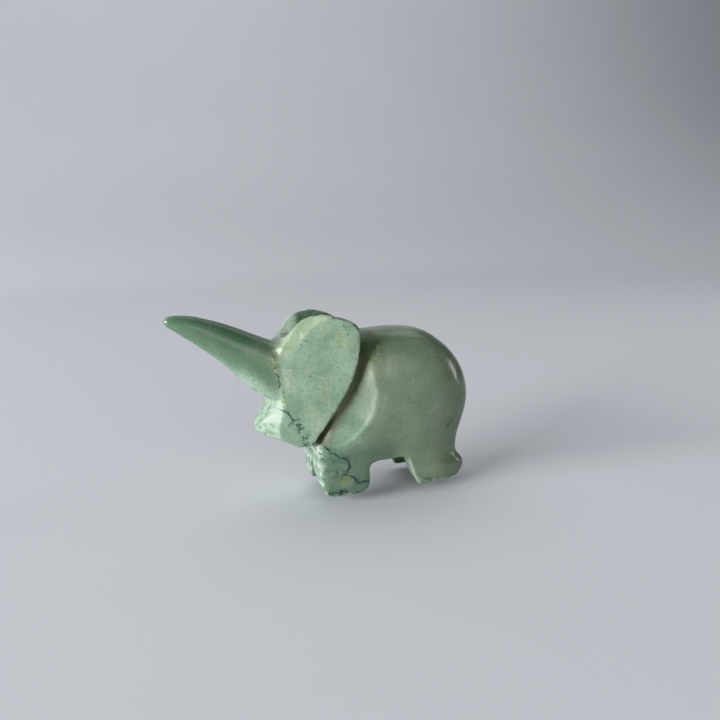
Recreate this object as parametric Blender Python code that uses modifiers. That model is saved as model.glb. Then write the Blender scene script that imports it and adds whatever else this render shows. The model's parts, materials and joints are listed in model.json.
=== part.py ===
"""A small elephant carved from one piece of green stone, standing on its four feet.

It faces -X, with +Z up and Y = 0 as its middle plane. X = 0 is the middle of its length and
Z = 0 is the ground. Sizes are in millimetres until the last step of each mesh, which is in metres.
"""

import math

import bmesh
import bpy
from mathutils import Matrix, Vector

MM = 0.001

# Driving dimensions.
LENGTH = 54.2
BACK_HEIGHT = 28.7
EAR_HEIGHT = 32.3
TRUNK_TIP_HEIGHT = 32.25
BELLY_HEIGHT = 5.4
BODY_HALF_WIDTH = 8.8
FOOT_HALF_WIDTH = 6.8
HEAD_FRONT_X = -9.6
HEAD_FRONT_HALF_WIDTH = 4.9
EAR_FLARE = 0.245
GROOVE_HALF_WIDTH = 5.8
LEG_SLOT_WIDTH = 1.1

# The drawing below is made a little off the middle of the length and is moved by this at the end.
DRAWING_SHIFT_X = 0.56
RUMP_X = LENGTH / 2 - DRAWING_SHIFT_X
TIP_X = -LENGTH / 2 - DRAWING_SHIFT_X

# Surface quality of this model.
RING_SIDES = 20
OUTLINE_STEPS = 4
GRAIN = 0.3
EDGE_ROUNDING = 3
TRIANGLE_SHARE = 0.055
STONE_COLOUR = (0.33, 0.45, 0.32, 1.0)
STONE_ROUGHNESS = 0.35

# Level slices of body and legs: height, front x, rear x, half width, squareness.
BODY_SLICES = [
    (-1.5, -6.0, 22.4, FOOT_HALF_WIDTH, 5.0),
    (0.2, -6.0, 24.5, FOOT_HALF_WIDTH, 5.0),
    (1.3, -6.0, 25.4, FOOT_HALF_WIDTH + 0.05, 4.9),
    (2.4, -6.0, 25.65, FOOT_HALF_WIDTH + 0.1, 4.7),
    (3.3, -6.0, 25.3, 6.9, 4.5),
    (4.2, -6.0, 24.3, 6.6, 4.2),
    (5.6, -6.0, 24.3, 6.4, 4.0),
    (8.2, -5.6, 24.7, 6.9, 3.6),
    (12.0, -3.4, 26.15, 8.1, 3.2),
    (16.0, -1.2, RUMP_X + 0.42, BODY_HALF_WIDTH, 3.0),
    (20.0, 0.0, 26.0, BODY_HALF_WIDTH, 2.9),
    (24.0, 1.5, 23.6, 7.9, 2.8),
    (27.2, 3.0, 20.0, 5.9, 2.7),
    (BACK_HEIGHT + 0.15, 6.2, 16.2, 3.2, 2.4),
]

# Trunk rings from the tip into the head: x, z, half height, half width, squareness.
TRUNK_RINGS = [
    (TIP_X - 0.06, TRUNK_TIP_HEIGHT + 0.05, 0.6, 0.6, 2.0),
    (-26.6, 32.15, 1.15, 1.1, 2.0),
    (-24.6, 31.5, 1.75, 1.65, 2.0),
    (-22.0, 30.3, 2.35, 2.2, 2.0),
    (-19.2, 28.75, 2.9, 2.7, 2.1),
    (-16.4, 27.05, 3.4, 3.2, 2.2),
    (-13.7, 25.1, 4.1, 3.9, 2.5),
    (-11.2, 23.2, 4.75, 4.75, 3.0),
    (-8.0, 22.3, 6.1, 4.95, 4.0),
    (-4.5, 22.0, 6.3, 4.9, 4.0),
]

# Side view of the head with its ears and jaw: x, z.
HEAD_OUTLINE = [
    (-9.7, 22.0),
    (-10.3, 26.3),
    (-8.7, 27.6),
    (-7.3, 29.5),
    (-6.0, 31.0),
    (-4.5, 31.9),
    (-2.6, EAR_HEIGHT),
    (0.0, 31.9),
    (2.4, 31.1),
    (3.7, 29.8),
    (3.9, 28.0),
    (3.6, 25.3),
    (2.7, 22.0),
    (1.2, 18.7),
    (-1.1, 15.0),
    (-3.3, 11.7),
    (-4.8, 10.1),
    (-7.0, 9.7),
    (-8.4, 11.2),
    (-8.9, 13.8),
    (-8.9, 16.6),
    (-9.6, 18.6),
]

# Plan view of the jaw at each height: z, x of the cheek's front, x and y of the bevel's front edge
# and x of the chin on the middle plane.
JAW_LEVELS = [
    (9.5, -7.2, -7.8, 3.2, -8.2),
    (10.4, -8.9, -9.7, 3.4, -10.9),
    (11.2, -10.0, -10.9, 3.5, -12.7),
    (12.2, -10.4, -11.3, 3.6, -13.8),
    (13.8, -10.0, -10.95, 3.85, -13.6),
    (15.8, -9.45, -10.35, 4.05, -12.4),
    (18.0, -8.9, -9.75, 4.2, -11.3),
    (19.2, -8.5, -9.2, 4.4, -9.8),
]
JAW_BACK_X = -4.0

# Stations down the neck groove: x and z of the ear's rear edge, x and z of the far side of the
# hollow in the shoulder, half width of the body there.
GROOVE_STATIONS = [
    (3.0, 32.6, 10.4, 32.0, 5.2),
    (3.9, 29.8, 10.2, 29.2, 5.6),
    (4.0, 27.6, 9.6, 27.0, 7.0),
    (3.7, 25.3, 8.5, 24.6, 8.1),
    (2.8, 22.0, 7.4, 21.4, 8.5),
    (1.3, 18.7, 6.9, 17.6, 8.5),
    (-1.0, 15.0, 5.8, 13.6, 8.3),
    (-3.2, 11.7, 3.2, 10.4, 7.6),
    (-4.6, 9.9, 0.4, 9.0, 6.9),
    (-5.8, 8.7, -2.6, 8.0, 6.3),
]

# Stations along the bevel at the front of each ear: x and z on the ear's face, x and z inside.
EAR_BEVEL_STATIONS = [
    (-9.8, 24.9, -10.4, 26.0),
    (-8.7, 25.5, -9.2, 27.0),
    (-7.1, 26.3, -8.2, 28.2),
    (-6.0, 27.6, -7.2, 29.6),
    (-5.1, 29.1, -6.0, 30.7),
    (-3.4, 30.7, -3.9, 31.7),
    (-1.4, 31.9, -1.6, 32.4),
]
EAR_BEVEL_INNER_Y = 4.7

BELLY_GAP_OUTLINE = [
    (2.6, -2.0),
    (4.2, 0.0),
    (5.1, 1.0),
    (5.4, 2.4),
    (5.4, 4.3),
    (6.0, BELLY_HEIGHT - 0.3),
    (7.6, BELLY_HEIGHT),
    (11.6, BELLY_HEIGHT),
    (12.9, BELLY_HEIGHT - 0.2),
    (13.3, 3.9),
    (14.0, 1.8),
    (15.0, -0.2),
    (16.2, -2.0),
]

# Side view of the space before the front legs, under the jaw.
CHEST_OUTLINE = [
    (-1.6, -2.0),
    (-2.5, 0.0),
    (-3.2, 1.6),
    (-3.6, 3.4),
    (-3.7, 6.0),
    (-3.9, 8.6),
    (-4.4, 9.2),
    (-6.0, 9.4),
    (-12.0, 9.2),
    (-12.0, -2.0),
]

# End views of the arches between left and right legs: y, z of the right half from the top down.
FRONT_ARCH = [
    (LEG_SLOT_WIDTH / 2, 8.4),
    (LEG_SLOT_WIDTH / 2, 4.6),
    (1.5, 2.9),
    (3.0, 1.3),
    (4.6, 0.0),
    (6.0, -2.0),
]
HIND_ARCH = [
    (1.2, 6.2),
    (2.8, 5.3),
    (3.4, 4.0),
    (4.1, 2.2),
    (4.9, 0.0),
    (6.0, -2.0),
]


def clear_scene():
    for old in list(bpy.data.objects):
        bpy.data.objects.remove(old, do_unlink=True)


def new_collection(name, hidden=False):
    made = bpy.data.collections.new(name)
    bpy.context.scene.collection.children.link(made)
    made.hide_render = hidden
    return made


def add_mesh(name, shape, collection):
    """Turns a bmesh in millimetres into a hidden helper object in metres."""
    bmesh.ops.recalc_face_normals(shape, faces=shape.faces)
    bmesh.ops.translate(shape, vec=(DRAWING_SHIFT_X, 0, 0), verts=shape.verts)
    bmesh.ops.scale(shape, vec=(MM, MM, MM), verts=shape.verts)
    mesh = bpy.data.meshes.new(name)
    shape.to_mesh(mesh)
    shape.free()
    made = bpy.data.objects.new(name, mesh)
    collection.objects.link(made)
    made.hide_render = True
    made.display_type = "WIRE"
    return made


def squared(angle, power):
    """A point on a unit superellipse: power 2 is a circle, and more is squarer."""
    c, s = math.cos(angle), math.sin(angle)
    return (
        math.copysign(abs(c) ** (2 / power), c),
        math.copysign(abs(s) ** (2 / power), s),
    )


def skin(shape, loops):
    """Joins rings of corners into one closed skin with a cap at each end."""
    count = len(loops[0])
    for first, second in zip(loops, loops[1:]):
        for k in range(count):
            n = (k + 1) % count
            shape.faces.new((first[k], first[n], second[n], second[k]))
    shape.faces.new(loops[0])
    shape.faces.new(loops[-1])


def soft_loft(name, rings, collection):
    """A soft form over rings of (matrix, half width, half height, squareness)."""
    shape = bmesh.new()
    loops = []
    for place, half_width, half_height, power in rings:
        loop = []
        for k in range(RING_SIDES):
            across, up = squared(math.tau * (k + 0.5) / RING_SIDES, power)
            corner = place @ Vector((across * half_width, up * half_height, 0))
            loop.append(shape.verts.new(corner))
        loops.append(loop)
    skin(shape, loops)
    made = add_mesh(name, shape, collection)
    soft = made.modifiers.new("soft", "SUBSURF")
    soft.levels = 2
    soft.render_levels = 2
    return made


def body(collection):
    rings = []
    for height, front, rear, half_width, power in BODY_SLICES:
        place = Matrix.Translation(((front + rear) / 2, 0, height))
        rings.append((place, (rear - front) / 2, half_width, power))
    soft_loft("body_mass", rings, collection)


def trunk(collection):
    """The rings stand square to the trunk's bowed centre line."""
    upright = Matrix.Rotation(math.pi / 2, 4, "Z") @ Matrix.Rotation(math.pi / 2, 4, "X")
    rings = []
    for number, (x, z, half_height, half_width, power) in enumerate(TRUNK_RINGS):
        before = TRUNK_RINGS[max(number - 1, 0)]
        after = TRUNK_RINGS[min(number + 1, len(TRUNK_RINGS) - 1)]
        lean = math.atan2(after[1] - before[1], after[0] - before[0])
        place = Matrix.Translation((x, 0, z)) @ Matrix.Rotation(-lean, 4, "Y") @ upright
        rings.append((place, half_width, half_height, power))
    soft_loft("trunk_mass", rings, collection)


def rounded(outline, steps):
    """More points along a smooth closed line through the given ones."""
    points = [Vector(p) for p in outline]
    made = []
    for k, p1 in enumerate(points):
        p0 = points[k - 1]
        p2 = points[(k + 1) % len(points)]
        p3 = points[(k + 2) % len(points)]
        for step in range(steps):
            t = step / steps
            bend = (p2 - p0) * t + (2 * p0 - 5 * p1 + 4 * p2 - p3) * t * t
            bend += (3 * p1 - p0 - 3 * p2 + p3) * t ** 3
            made.append(p1 + bend / 2)
    return made


def plate(outline, near, far):
    """A side-view outline made solid between two distances from the middle plane."""
    shape = bmesh.new()
    loops = [[shape.verts.new((x, y, z)) for x, z in outline] for y in (near, far)]
    skin(shape, loops)
    return shape


def head_half_width(x):
    return HEAD_FRONT_HALF_WIDTH + EAR_FLARE * (x - HEAD_FRONT_X)


def head(collection):
    """The ears flare from the trunk's root to their rear edge."""
    shape = plate(rounded(HEAD_OUTLINE, OUTLINE_STEPS), -1, 1)
    for corner in shape.verts:
        corner.co.y *= head_half_width(corner.co.x)
    return add_mesh("elephant", shape, collection)


def jaw(collection):
    """A blunt prow with a bevel down each front corner."""
    stations = []
    for height, cheek_x, bevel_x, bevel_y, chin_x in JAW_LEVELS:
        cheeks = [(x, head_half_width(x) - 0.02) for x in (JAW_BACK_X, cheek_x)]
        half = cheeks + [(bevel_x, bevel_y), (bevel_x + 0.66 * (chin_x - bevel_x), 0.5 * bevel_y)]
        other = [(x, -y) for x, y in reversed(half)]
        stations.append([(x, y, height) for x, y in half + [(chin_x, 0)] + other])
    strip("jaw_mass", stations, collection)


def ball(name, centre, half_sizes, collection):
    shape = bmesh.new()
    bmesh.ops.create_uvsphere(shape, u_segments=24, v_segments=16, radius=1)
    bmesh.ops.scale(shape, vec=half_sizes, verts=shape.verts)
    bmesh.ops.translate(shape, vec=centre, verts=shape.verts)
    return add_mesh(name, shape, collection)


def box(name, centre, sizes, collection):
    shape = bmesh.new()
    bmesh.ops.create_cube(shape, size=1)
    bmesh.ops.scale(shape, vec=sizes, verts=shape.verts)
    bmesh.ops.translate(shape, vec=centre, verts=shape.verts)
    return add_mesh(name, shape, collection)


def crown_channel(collection):
    """The hollow between the ears: it opens wide at the brow and is narrowest at the crown."""
    profile = [
        (-11.4, 7.0, 35.2),
        (-9.0, 6.6, 34.8),
        (-7.0, 5.2, 33.5),
        (-5.0, 4.2, 32.8),
        (-2.0, 4.5, 33.0),
        (2.0, 5.0, 33.2),
        (4.5, 5.1, 33.3),
        (9.0, 4.4, 33.3),
    ]
    shape = bmesh.new()
    loops = []
    for x, radius, centre in profile:
        loop = []
        for k in range(40):
            angle = math.tau * k / 40
            corner = (x, radius * math.cos(angle), centre + radius * math.sin(angle))
            loop.append(shape.verts.new(corner))
        loops.append(loop)
    skin(shape, loops)
    add_mesh("crown_channel", shape, collection)


def strip(name, stations, collection):
    """A cutter lofted through sections that each have the same number of corners."""
    shape = bmesh.new()
    loops = [[shape.verts.new(corner) for corner in station] for station in stations]
    skin(shape, loops)
    add_mesh(name, shape, collection)


def neck_groove(side, collection):
    """A narrow floor against the ear's rear edge, then a slope up to the shoulder."""
    stations = []
    for ear_x, ear_z, rim_x, rim_z, half_width in GROOVE_STATIONS:
        floor = min(GROOVE_HALF_WIDTH, half_width - 0.6)
        stations.append([
            (ear_x, side * 12, ear_z),
            (ear_x, side * floor, ear_z),
            (ear_x + 1.0, side * floor, ear_z - 0.2),
            (rim_x - 1.2, side * (half_width - 0.75), rim_z + 0.1),
            (rim_x + 0.4, side * (half_width + 0.4), rim_z),
            (rim_x + 1.6, side * 12, rim_z),
        ])
    strip("neck_groove_%d" % side, stations, collection)


def ear_bevel(side, collection):
    stations = []
    for face_x, face_z, inner_x, inner_z in EAR_BEVEL_STATIONS:
        on_face = Vector((face_x, side * head_half_width(face_x), face_z))
        inside = Vector((inner_x, side * EAR_BEVEL_INNER_Y, inner_z))
        along = on_face - inside
        away = Vector((-2.6, 0, 2.6))
        stations.append([
            inside - along * 0.25,
            on_face + along * 0.6,
            on_face + along * 0.6 + away + Vector((0, side * 2, 0)),
            inside - along * 0.25 + away,
        ])
    strip("ear_bevel_%d" % side, stations, collection)


def arch(name, half_view, first_x, last_x, collection):
    """An end-view opening between the left and right legs, cut along X."""
    corners = half_view + [(-y, z) for y, z in reversed(half_view)]
    stations = [[(x, y, z) for y, z in corners] for x in (first_x, last_x)]
    strip(name, stations, collection)


def masses(collection):
    body(collection)
    trunk(collection)
    jaw(collection)
    ball("neck_mass", (0.5, 0, 18.0), (7.5, 6.0, 10.4), collection)


def cuts(collection):
    crown_channel(collection)
    for side in (-1, 1):
        neck_groove(side, collection)
        ear_bevel(side, collection)
    belly = plate(BELLY_GAP_OUTLINE, -12, 12)
    add_mesh("belly_gap", belly, collection)
    chest = plate(CHEST_OUTLINE, -12, 12)
    add_mesh("chest_gap", chest, collection)
    arch("front_arch", FRONT_ARCH, -8.0, 6.2, collection)
    arch("hind_arch", HIND_ARCH, 11.0, 30.0, collection)


def boolean(target, operation, collection):
    step = target.modifiers.new(operation.lower(), "BOOLEAN")
    step.operation = operation
    step.operand_type = "COLLECTION"
    step.collection = collection
    step.solver = "EXACT"
    step.use_hole_tolerant = True


def stone():
    material = bpy.data.materials.new("green_stone")
    material.use_nodes = True
    shader = material.node_tree.nodes["Principled BSDF"]
    shader.inputs["Base Color"].default_value = STONE_COLOUR
    shader.inputs["Roughness"].default_value = STONE_ROUGHNESS
    return material


def build():
    clear_scene()
    carving = new_collection("stone_elephant")
    added = new_collection("masses", hidden=True)
    removed = new_collection("cuts", hidden=True)
    ground = new_collection("ground_cut", hidden=True)
    masses(added)
    cuts(removed)
    box("ground_plane", (0, 0, -5), (80, 40, 10), ground)

    elephant = head(carving)
    elephant.hide_render = False
    elephant.display_type = "TEXTURED"
    boolean(elephant, "UNION", added)
    boolean(elephant, "DIFFERENCE", removed)
    grain = elephant.modifiers.new("grain", "REMESH")
    grain.mode = "VOXEL"
    grain.voxel_size = GRAIN * MM
    rounding = elephant.modifiers.new("rounding", "SMOOTH")
    rounding.factor = 0.5
    rounding.iterations = EDGE_ROUNDING
    thinning = elephant.modifiers.new("thinning", "DECIMATE")
    thinning.ratio = TRIANGLE_SHARE
    boolean(elephant, "DIFFERENCE", ground)
    elephant.data.materials.append(stone())


build()
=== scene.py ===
import json
import math

import bmesh
import bpy
import numpy as np
from mathutils import Matrix, Quaternion, Vector, noise

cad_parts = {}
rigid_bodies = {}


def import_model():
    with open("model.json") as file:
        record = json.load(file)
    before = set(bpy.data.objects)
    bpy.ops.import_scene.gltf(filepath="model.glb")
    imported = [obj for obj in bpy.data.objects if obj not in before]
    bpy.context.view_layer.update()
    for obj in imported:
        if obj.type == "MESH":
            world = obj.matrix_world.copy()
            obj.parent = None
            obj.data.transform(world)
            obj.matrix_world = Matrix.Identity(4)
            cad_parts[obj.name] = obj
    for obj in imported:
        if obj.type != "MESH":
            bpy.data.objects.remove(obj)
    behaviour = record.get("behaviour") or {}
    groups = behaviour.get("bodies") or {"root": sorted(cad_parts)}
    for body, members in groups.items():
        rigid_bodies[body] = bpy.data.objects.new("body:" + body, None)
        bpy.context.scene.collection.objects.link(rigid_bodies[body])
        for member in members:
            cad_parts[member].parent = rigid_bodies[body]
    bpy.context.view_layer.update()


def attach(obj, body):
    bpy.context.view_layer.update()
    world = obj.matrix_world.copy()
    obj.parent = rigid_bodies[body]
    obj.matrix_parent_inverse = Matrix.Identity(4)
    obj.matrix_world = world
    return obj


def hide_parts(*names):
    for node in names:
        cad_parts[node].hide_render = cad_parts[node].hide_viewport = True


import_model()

# ---------------------------------------------------------------------------------------------
# Drawing of the elephant, in millimetres. It faces -X, the middle plane is Y = 0 and it stands
# on Z = 0. The drawing is moved along X by SHIFT_X so that the middle of its length is X = 0.
# ---------------------------------------------------------------------------------------------
MM = 0.001
SHIFT_X = 0.56
GRAIN = 0.25
CRUMB_CORNERS = 300
RING_SIDES = 28
CHANNEL_SIDES = 48
SUBDIVISIONS = 3
PAST_SIDE = 12
HEAD_FRONT_X = -9.6
HEAD_FRONT_HALF_WIDTH = 4.9
EAR_FLARE = 0.245
EAR_BEVEL_INNER_Y = 4.7
BROW_TAPER = 0.12
BROW_TAPER_X = -8.2
BROW_TAPER_Z = 23.2
GROOVE_HALF_WIDTH = 5.8
GROOVE_FLOOR_WIDTH = 1.0
JAW_BACK_X = -4.0
NECK_RADII = (7.5, 6.0, 10.4)
NECK_CENTRE = (0.5, 0, 18.0)

# Level slices of body and legs: height, front x, rear x, half width, squareness.
BODY_SLICES = [
    (-1.5, -6.0, 22.4, 6.8, 5.0),
    (0.2, -6.0, 24.5, 6.8, 5.0),
    (1.3, -6.0, 25.4, 6.85, 4.9),
    (2.4, -6.0, 25.65, 6.9, 4.7),
    (3.3, -6.0, 25.3, 6.9, 4.5),
    (4.2, -6.0, 24.3, 6.6, 4.2),
    (5.6, -6.0, 24.3, 6.4, 4.0),
    (8.2, -5.6, 24.7, 6.9, 3.6),
    (12.0, -3.4, 26.15, 8.1, 3.2),
    (16.0, -1.2, 26.8, 8.8, 3.0),
    (20.0, 0.0, 26.0, 8.8, 2.9),
    (24.0, 1.5, 23.6, 7.9, 2.8),
    (27.2, 3.0, 20.0, 5.9, 2.7),
    (28.85, 6.2, 16.2, 3.2, 2.4),
]

# Trunk rings from the tip into the head: x, z, half height, half width, squareness.
TRUNK_RINGS = [
    (-27.72, 32.3, 0.6, 0.6, 2.0),
    (-26.6, 32.15, 1.15, 1.1, 2.0),
    (-24.6, 31.5, 1.75, 1.65, 2.0),
    (-22.0, 30.3, 2.35, 2.2, 2.0),
    (-19.2, 28.75, 2.9, 2.7, 2.1),
    (-16.4, 27.05, 3.4, 3.2, 2.2),
    (-13.7, 25.1, 4.1, 3.9, 2.5),
    (-11.2, 23.2, 4.75, 4.75, 3.0),
    (-8.0, 22.3, 6.1, 4.95, 4.0),
    (-4.5, 22.0, 6.3, 4.9, 4.0),
]

# Side view of the head with its ears: x, z.
HEAD_OUTLINE = [
    (-9.7, 22.0),
    (-10.3, 26.3),
    (-8.7, 27.6),
    (-7.3, 29.5),
    (-6.0, 31.0),
    (-4.5, 31.9),
    (-2.6, 32.3),
    (0.0, 31.9),
    (2.4, 31.1),
    (3.7, 29.8),
    (3.9, 28.0),
    (3.6, 25.3),
    (2.7, 22.0),
    (1.2, 18.7),
    (-1.1, 15.0),
    (-3.3, 11.7),
    (-4.8, 10.1),
    (-7.0, 9.7),
    (-8.4, 11.2),
    (-8.9, 13.8),
    (-8.9, 16.6),
    (-9.6, 18.6),
]

# Plan view of the jaw at each height: z, x of the cheek's front, x and y of the bevel's front
# edge and x of the chin on the middle plane.
JAW_LEVELS = [
    (9.5, -7.2, -7.8, 3.2, -8.2),
    (10.4, -8.9, -9.7, 3.4, -10.9),
    (11.2, -10.0, -10.9, 3.5, -12.7),
    (12.2, -10.4, -11.3, 3.6, -13.8),
    (13.8, -10.0, -10.95, 3.85, -13.6),
    (15.8, -9.45, -10.35, 4.05, -12.4),
    (18.0, -8.9, -9.75, 4.2, -11.3),
    (19.2, -8.5, -9.2, 4.4, -9.8),
]

# Stations down the neck groove: x and z of the ear's rear edge, x and z of the far side of the
# hollow in the shoulder, half width of the body there.
GROOVE_STATIONS = [
    (3.0, 32.6, 10.4, 32.0, 5.2),
    (3.9, 29.8, 10.2, 29.2, 5.6),
    (4.0, 27.6, 9.6, 27.0, 7.0),
    (3.7, 25.3, 8.5, 24.6, 8.1),
    (2.8, 22.0, 7.4, 21.4, 8.5),
    (1.3, 18.7, 6.9, 17.6, 8.5),
    (-1.0, 15.0, 5.8, 13.6, 8.3),
    (-3.2, 11.7, 3.2, 10.4, 7.6),
    (-4.6, 9.9, 0.4, 9.0, 6.9),
    (-5.8, 8.7, -2.6, 8.0, 6.3),
]

# Stations along the bevel at the front of each ear: x and z on the ear's face, x and z inside.
EAR_BEVEL_STATIONS = [
    (-9.8, 24.9, -10.4, 26.0),
    (-8.7, 25.5, -9.2, 27.0),
    (-7.1, 26.3, -8.2, 28.2),
    (-6.0, 27.6, -7.2, 29.6),
    (-5.1, 29.1, -6.0, 30.7),
    (-3.4, 30.7, -3.9, 31.7),
    (-1.4, 31.9, -1.6, 32.4),
]

# Sections of the hollow between the ears: x, radius, height of the centre.
CROWN_CHANNEL = [
    (-11.4, 7.0, 35.2),
    (-9.0, 6.6, 34.8),
    (-7.0, 5.2, 33.5),
    (-5.0, 4.2, 32.8),
    (-2.0, 4.5, 33.0),
    (2.0, 5.0, 33.2),
    (4.5, 5.1, 33.3),
    (9.0, 4.4, 33.3),
]

# Side view of the space under the belly, between the front and hind legs: x, z.
BELLY_GAP_OUTLINE = [
    (2.6, -2.0),
    (4.2, 0.0),
    (5.1, 1.0),
    (5.4, 2.4),
    (5.4, 4.3),
    (6.0, 5.1),
    (7.6, 5.4),
    (11.6, 5.4),
    (12.9, 5.2),
    (13.3, 3.9),
    (14.0, 1.8),
    (15.0, -0.2),
    (16.2, -2.0),
]

# Side view of the space before the front legs, under the jaw: x, z.
CHEST_OUTLINE = [
    (-1.6, -2.0),
    (-2.5, 0.0),
    (-3.2, 1.6),
    (-3.6, 3.4),
    (-3.7, 6.0),
    (-3.9, 8.6),
    (-4.4, 9.2),
    (-6.0, 9.4),
    (-12.0, 9.2),
    (-12.0, -2.0),
]

# End views of the arches between left and right legs: y, z of one half from the top down.
FRONT_ARCH = [(0.55, 8.4), (0.55, 4.6), (1.5, 2.9), (3.0, 1.3), (4.6, 0.0), (6.0, -2.0)]
HIND_ARCH = [(1.2, 6.2), (2.8, 5.3), (3.4, 4.0), (4.1, 2.2), (4.9, 0.0), (6.0, -2.0)]
FRONT_ARCH_ENDS = (-8.0, 6.2)
HIND_ARCH_ENDS = (11.0, 30.0)

# Polish and wear, in millimetres: how far the surface waves, and how deep ridges are chipped.
POLISH_WAVE = 0.055
POLISH_RIPPLE = 0.025
CHIP_DEPTH = 0.10
EXTRA_CHIP_AT_FEET = 0.30
EXTRA_CHIP_AT_EARS = 0.26

# How the veins run: the lean of their sheets, the shift that puts them in place on the left
# side, how far they wander from the drawn line and the size of the wandering.
VEIN_LEAN = 0.22
VEIN_SHIFT = 1.45
VEIN_WANDER = 0.45
WANDER_SIZE = 1.6
VEIN_TAPER_LENGTH = 0.9
VEIN_FIELD_LIMIT = 5
FAR_AWAY = 1e9

PIECES = bpy.data.collections.new("stone_elephant")
MASSES = bpy.data.collections.new("masses")
CUTS = bpy.data.collections.new("cuts")
for group in (PIECES, MASSES, CUTS):
    bpy.context.scene.collection.children.link(group)


def add_mesh(name, shape, collection):
    """Turns a bmesh in millimetres into an object in metres."""
    bmesh.ops.recalc_face_normals(shape, faces=shape.faces)
    bmesh.ops.translate(shape, vec=(SHIFT_X, 0, 0), verts=shape.verts)
    bmesh.ops.scale(shape, vec=(MM, MM, MM), verts=shape.verts)
    mesh = bpy.data.meshes.new(name)
    shape.to_mesh(mesh)
    shape.free()
    made = bpy.data.objects.new(name, mesh)
    collection.objects.link(made)
    return made


def squared(angle, power):
    """A point on a unit superellipse: power 2 is a circle, and more is squarer."""
    c, s = math.cos(angle), math.sin(angle)
    return (
        math.copysign(abs(c) ** (2 / power), c),
        math.copysign(abs(s) ** (2 / power), s),
    )


def skin(shape, loops):
    """Joins rings of corners into one closed skin with a cap at each end."""
    count = len(loops[0])
    for first, second in zip(loops, loops[1:]):
        for k in range(count):
            n = (k + 1) % count
            shape.faces.new((first[k], first[n], second[n], second[k]))
    shape.faces.new(loops[0])
    shape.faces.new(loops[-1])


def soft_loft(name, rings):
    """A soft form over rings of (matrix, half width, half height, squareness)."""
    shape = bmesh.new()
    loops = []
    for place, half_width, half_height, power in rings:
        loop = []
        for k in range(RING_SIDES):
            across, up = squared(math.tau * (k + 0.5) / RING_SIDES, power)
            corner = place @ Vector((across * half_width, up * half_height, 0))
            loop.append(shape.verts.new(corner))
        loops.append(loop)
    skin(shape, loops)
    made = add_mesh(name, shape, MASSES)
    soft = made.modifiers.new("soft", "SUBSURF")
    soft.levels = SUBDIVISIONS
    soft.render_levels = SUBDIVISIONS


def body():
    rings = []
    for height, front, rear, half_width, power in BODY_SLICES:
        place = Matrix.Translation(((front + rear) / 2, 0, height))
        rings.append((place, (rear - front) / 2, half_width, power))
    soft_loft("body_mass", rings)


def trunk():
    """The rings stand square to the trunk's bowed centre line."""
    upright = Matrix.Rotation(math.pi / 2, 4, "Z") @ Matrix.Rotation(math.pi / 2, 4, "X")
    rings = []
    for number, (x, z, half_height, half_width, power) in enumerate(TRUNK_RINGS):
        before = TRUNK_RINGS[max(number - 1, 0)]
        after = TRUNK_RINGS[min(number + 1, len(TRUNK_RINGS) - 1)]
        lean = math.atan2(after[1] - before[1], after[0] - before[0])
        place = Matrix.Translation((x, 0, z)) @ Matrix.Rotation(-lean, 4, "Y") @ upright
        rings.append((place, half_width, half_height, power))
    soft_loft("trunk_mass", rings)


def rounded(outline, steps):
    """More points along a smooth closed line through the given ones."""
    points = [Vector(p) for p in outline]
    made = []
    for k, p1 in enumerate(points):
        p0 = points[k - 1]
        p2 = points[(k + 1) % len(points)]
        p3 = points[(k + 2) % len(points)]
        for step in range(steps):
            t = step / steps
            bend = (p2 - p0) * t + (2 * p0 - 5 * p1 + 4 * p2 - p3) * t * t
            bend += (3 * p1 - p0 - 3 * p2 + p3) * t ** 3
            made.append(p1 + bend / 2)
    return made


def through(stations, steps):
    """More stations along smooth lines through the given rows of numbers."""
    rows = [np.array(row, float) for row in stations]
    rows = [2 * rows[0] - rows[1]] + rows + [2 * rows[-1] - rows[-2]]
    made = []
    for p0, p1, p2, p3 in zip(rows, rows[1:], rows[2:], rows[3:]):
        for step in range(steps):
            t = step / steps
            bend = (p2 - p0) * t + (2 * p0 - 5 * p1 + 4 * p2 - p3) * t * t
            bend = bend + (3 * p1 - p0 - 3 * p2 + p3) * t ** 3
            made.append(p1 + bend / 2)
    made.append(rows[-2])
    return [tuple(float(v) for v in row) for row in made]


def plate(outline, near, far):
    """A side-view outline made solid between two distances from the middle plane."""
    shape = bmesh.new()
    loops = [[shape.verts.new((x, y, z)) for x, z in outline] for y in (near, far)]
    skin(shape, loops)
    return shape


def strip(name, stations, collection):
    """A form lofted through sections that each have the same number of corners."""
    shape = bmesh.new()
    loops = [[shape.verts.new(corner) for corner in station] for station in stations]
    skin(shape, loops)
    add_mesh(name, shape, collection)


def head_half_width(x):
    return HEAD_FRONT_HALF_WIDTH + EAR_FLARE * (x - HEAD_FRONT_X)


def head():
    """The ears flare from the trunk's root to their rear edge, and the brow tapers forward."""
    shape = plate(rounded(HEAD_OUTLINE, 6), -1, 1)
    for corner in shape.verts:
        x, _, z = corner.co
        narrower = BROW_TAPER * max(0, BROW_TAPER_X - x) * max(0, z - BROW_TAPER_Z)
        corner.co.y *= head_half_width(x) - narrower
    return add_mesh("carving", shape, PIECES)


def jaw():
    """A blunt prow with a bevel down each front corner."""
    stations = []
    for height, cheek_x, bevel_x, bevel_y, chin_x in JAW_LEVELS:
        cheeks = [(x, head_half_width(x) - 0.02) for x in (JAW_BACK_X, cheek_x)]
        half = cheeks + [(bevel_x, bevel_y), (bevel_x + 0.66 * (chin_x - bevel_x), 0.5 * bevel_y)]
        other = [(x, -y) for x, y in reversed(half)]
        stations.append([(x, y, height) for x, y in half + [(chin_x, 0)] + other])
    strip("jaw_mass", stations, MASSES)


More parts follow.
